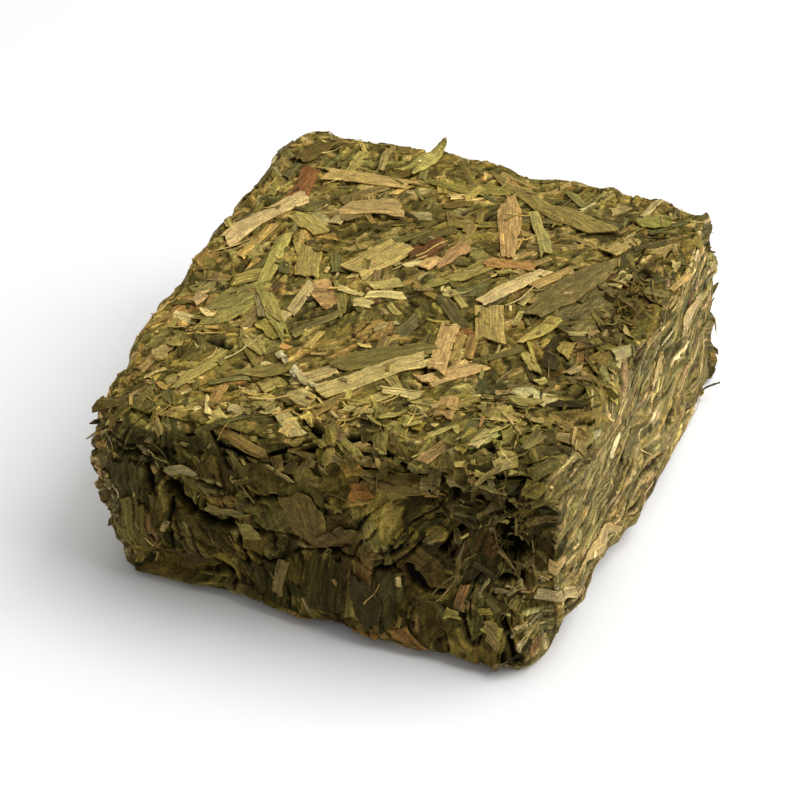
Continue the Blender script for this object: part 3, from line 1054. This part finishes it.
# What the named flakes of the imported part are, by the first word of their names, and their colours.
FORMS = {"straw": "straw", "strip": "straw", "stem": "straw", "blade": "blade", "curl": "blade",
         "leaf": "leaf"}
SLOT_STUFF = {"straw": "straw", "leaf_green": "blade", "leaf_brown": "leaf", "bark": "bark"}
NAMED_COLOURS = {
    "straw_long_left": "cdb07c", "shred_red_brown": "8a5c36", "leaf_corner_back": "6f5c30",
    "straw_back_left": "bfa163", "strip_tan_back": "b39560", "chip_yellow_back": "a99752",
    "curl_back": "b5a660", "blade_green_back": "8d7f3e", "blade_long_back": "8f7d45",
    "leaf_tan_upright": "b28f5a", "straw_thin_upright": "a99b5a", "chip_green_right": "8c8440",
    "chip_tan_right": "b0975c", "leaf_broad_left": "8f8248", "straw_upright_left": "b3a458",
    "chip_triangle_left": "a5904e", "leaf_green_left": "9a8c4c", "straw_ribbed_mid": "b39a5a",
    "blade_pink_mid": "b08a5f", "blade_olive_mid": "99884a", "chip_orange": "b08450",
    "leaf_brown_right": "7a6a40", "straw_arc": "cdb27d", "stem_cut": "a88f52",
    "blade_yellow_right": "b09c52", "leaf_broad_centre": "7a6c38", "straw_long_front": "bba468",
    "straw_pink_upright": "bd9b68", "straw_pink_cross": "c6a470", "leaf_arch_front": "8a7a44",
    "blade_yellow_left": "a89652", "chip_tan_left": "a8854f", "chip_striped_front": "9c8a50",
    "chip_pink": "b08e5e", "leaf_torn_near": "a08c55", "straw_pale_pair": "b9a670",
    "corner_tuft": "6a5a30", "leaf_fold_front": "84703a", "leaf_bundle_upper": "857546",
    "leaf_bundle_lower": "756a38", "leaf_smooth_front": "7d6936", "leaf_smooth_low": "6c5a30",
    "leaf_yellow_front": "8a7a3a", "leaf_base_left": "5a4828", "leaf_dark_low": "4d4424",
}

# Each belongs to a side that it lies further out on than ON_SIDE of the way. Their thickness, mesh cells
# along and across, roll, arch and crumple, and how far their ends stand up.
ON_SIDE = 0.6
NAMED_THICK, NAMED_CELLS, NAMED_ROLL, NAMED_ARCH, NAMED_CRUMPLE = 0.5, (16, 4), 0.1, 0.08, 0.05
NAMED_LIFT = (0.15, 0.15)
RAISED = {"curl_back": (0.4, 4.0)}


def named_flake(node, mats):
    """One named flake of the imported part, laid where its solid lies but with a finer form."""
    solid = frame["nodes"][node]
    points = np.array([v.co for v in solid.data.vertices]) / MM
    centre = points.mean(axis=0)
    thin, wide, long = np.linalg.eigh(np.cov((points - centre).T))[1].T
    away = centre - MIDDLE
    facing = [each for each in mats.values() if away @ each.chart.side.out > ON_SIDE * each.chart.depth]
    mat = max(facing, key=lambda each: abs(thin @ each.chart.side.out))
    side = mat.chart.side
    a, b = mat.chart.find(centre)
    angle = math.atan2(long @ side.up, long @ side.across)
    if node in RAISED and long @ side.up < 0:
        angle += math.pi
    slot = next(s["material_slot"] for s in frame["record"]["subparts"] if s["node"] == node)
    stuff = SLOT_STUFF[slot]
    form = FORMS.get(node.split("_")[0], "torn")
    colour = COLOURS[stuff][0] * mat.chart.at(mat.chart.tone, a, b)
    if node in NAMED_COLOURS:
        colour = linear(NAMED_COLOURS[node]) * SEEN_TONE[mat.chart.name]
    own = Mat(mat.chart)
    own.lay(form, stuff, a, b, angle, np.ptp(points @ long), np.ptp(points @ wide), colour, NAMED_CELLS,
            NAMED_THICK, mat.rng.normal(0, NAMED_ROLL), RAISED.get(node, NAMED_LIFT), NAMED_ARCH,
            NAMED_CRUMPLE, sink=0.0)
    made = own.mesh(node + "_fine")
    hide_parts(node)


def loose_bits(mat):
    """Jumbled bits, crumbs and hairs, which lie on top of the rest."""
    chart, rng = mat.chart, mat.rng
    if chart.name == "top":
        mat.course(LAST, False, chart.at(chart.look, 0, 0))
    for heap in HEAPS:
        for _ in range(heap.bits):
            a, b = rng.normal(heap.a, heap.reach_a / 2), rng.normal(heap.b, heap.reach_b / 2)
            a, b = chart.below(heap.side, a, b)
            if not chart.covers((a, b)):
                continue
            stuff = STUFFS[rng.choice(len(STUFFS), p=MIXED)]
            colour = COLOURS[stuff][rng.integers(BIT_COLOURS)] * chart.at(chart.tone, a, b) * heap.light
            colour = colour * rng.lognormal(0, HEAP_VARIES)
            length, width = (size[0] + np.ptp(size) * rng.random() ** HEAP_POWER
                             for size in (HEAP_LENGTH, HEAP_WIDTH))
            width = min(width, HEAP_WIDEST * length)
            form = HEAP_FORMS[rng.integers(len(HEAP_FORMS))]
            mat.lay(form, stuff, a, b, rng.uniform(-math.pi, math.pi), length, width, colour, HEAP_CELLS,
                    rng.uniform(*THIN), rng.normal(0, HEAP_ROLL), np.abs(rng.normal(0, HEAP_LIFT, 2)),
                    HEAP_ARCH, HEAP_CRUMPLE)
    for _ in range(int(CRUMBS * chart.area)):
        a, b = rng.uniform(-chart.reach, chart.reach)
        stuff = STUFFS[rng.integers(CRUMB_STUFFS)]
        colour = COLOURS[stuff][rng.integers(BIT_COLOURS)] * chart.at(chart.tone, a, b)
        colour = colour * rng.lognormal(0, CRUMB_VARIES)
        length = rng.uniform(*CRUMB_LENGTH)
        mat.lay("torn", stuff, a, b, rng.uniform(0, math.pi), length, min(rng.uniform(*CRUMB_WIDTH), length),
                colour, CRUMB_CELLS, CRUMB_THICK, rng.normal(0, CRUMB_ROLL), sink=CRUMB_SINK)
    for _ in range(int(HAIRS * chart.area)):
        a, b = rng.uniform(-chart.reach, chart.reach)
        colour = COLOURS["straw"][rng.integers(BIT_COLOURS)] * chart.at(chart.tone, a, b)
        colour = colour * rng.lognormal(*HAIR_LIGHT)
        angle = chart.at(chart.heading, a, b) + rng.normal(0, HAIR_SWAY)
        mat.lay("straw", "straw", a, b, angle, rng.uniform(*HAIR_LENGTH), rng.uniform(*HAIR_WIDTH), colour,
                HAIR_CELLS, HAIR_THICK, lift=np.abs(rng.normal(0, HAIR_LIFT, 2)))


def dress():
    """Lays every side of the block, from the mass out."""
    solid = frame["nodes"]["pressed_block"].data
    solid.calc_loop_triangles()
    tree = BVHTree.FromPolygons([vertex.co / MM for vertex in solid.vertices],
                                [triangle.vertices for triangle in solid.loop_triangles])
    mats = {}
    for index, name in enumerate(SIDES):
        mat = Mat(Chart(name, tree, np.random.default_rng(SEED + index)))
        mat.courses(PRESSED, pressed=True)
        mat.seen(pressed=True)
        mat.chart.comb()
        mat.chart.split()
        skin = mat.skin("pressed_skin_" + name)
        if name == "top":
            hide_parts("pressed_block")
        mat.courses(LOOSE, pressed=False)
        mat.seen(pressed=False)
        mats[name] = mat
    for node in sorted(frame["nodes"]):
        if node != "pressed_block":
            named_flake(node, mats)
    for name, mat in mats.items():
        if name != "under":
            loose_bits(mat)
        mat.mesh("loose_flakes_" + name)


# The camera, from the photo's own viewing angle: degrees round and up, distance, aim and lens. Nothing nearer
# than VIEW_FROM, in metres, shows.
VIEW_ROUND, VIEW_UP, VIEW_AWAY = 20.5, 34.1, 440.8
VIEW_AIM = (-1.7, -8.1, 22.0)
VIEW_LENS, VIEW_FROM = 85.0, 0.01

# The floor's size in metres, its red, green and blue, and its roughness. The soft boxes: degrees round and
# up, distance and size in metres, and watts. ROOM_LIGHT is what the pale room adds.
FLOOR_SIZE, PAPER, PAPER_ROUGHNESS = 6.0, (0.86, 0.86, 0.86), 0.9
SOFTBOXES = (("key_softbox", 105, 50, 1.2, 1.0, 14), ("top_softbox", 160, 75, 1.3, 0.9, 5))
ROOM_LIGHT = 0.45


def direction(degrees_round, degrees_up):
    """The way from the block to a place that many degrees round from its front and up."""
    turn, rise = math.radians(degrees_round), math.radians(degrees_up)
    return Vector((math.sin(turn) * math.cos(rise), -math.cos(turn) * math.cos(rise), math.sin(rise)))


def photo_camera():
    camera = bpy.data.objects.new("photo_camera", bpy.data.cameras.new("photo_camera"))
    bpy.context.scene.collection.objects.link(camera)
    way = direction(VIEW_ROUND, VIEW_UP)
    camera.location = (Vector(VIEW_AIM) + way * VIEW_AWAY) * MM
    camera.rotation_euler = way.to_track_quat("Z", "Y").to_euler()
    camera.data.lens = VIEW_LENS
    camera.data.clip_start = VIEW_FROM
    bpy.context.scene.camera = camera


def soft_light(name, degrees_round, degrees_up, away, size, watts):
    """A square soft box that faces the block."""
    light = bpy.data.objects.new(name, bpy.data.lights.new(name, "AREA"))
    bpy.context.scene.collection.objects.link(light)
    way = direction(degrees_round, degrees_up)
    light.location = way * away
    light.rotation_euler = way.to_track_quat("Z", "Y").to_euler()
    light.data.size = size
    light.data.energy = watts


def studio():
    """A pale floor, a soft box at the right and behind, a weak one over the top, and a pale room."""
    bpy.ops.mesh.primitive_plane_add(size=FLOOR_SIZE)
    floor = bpy.context.object
    floor.name = "floor"
    # Paper: matt and evenly pale.
    paper = bpy.data.materials.new("white_paper")
    paper.use_nodes = True
    shader = paper.node_tree.nodes["Principled BSDF"]
    shader.inputs["Base Color"].default_value = (*PAPER, 1)
    shader.inputs["Roughness"].default_value = PAPER_ROUGHNESS
    floor.data.materials.append(paper)
    for box in SOFTBOXES:
        soft_light(*box)
    world = bpy.context.scene.world or bpy.data.worlds.new("room")
    bpy.context.scene.world = world
    world.use_nodes = True
    sky = world.node_tree.nodes["Background"]
    sky.inputs["Color"].default_value = (1, 1, 1, 1)
    sky.inputs["Strength"].default_value = ROOM_LIGHT
    bpy.context.scene.view_settings.view_transform = "Standard"


photo_camera()
studio()
dress()
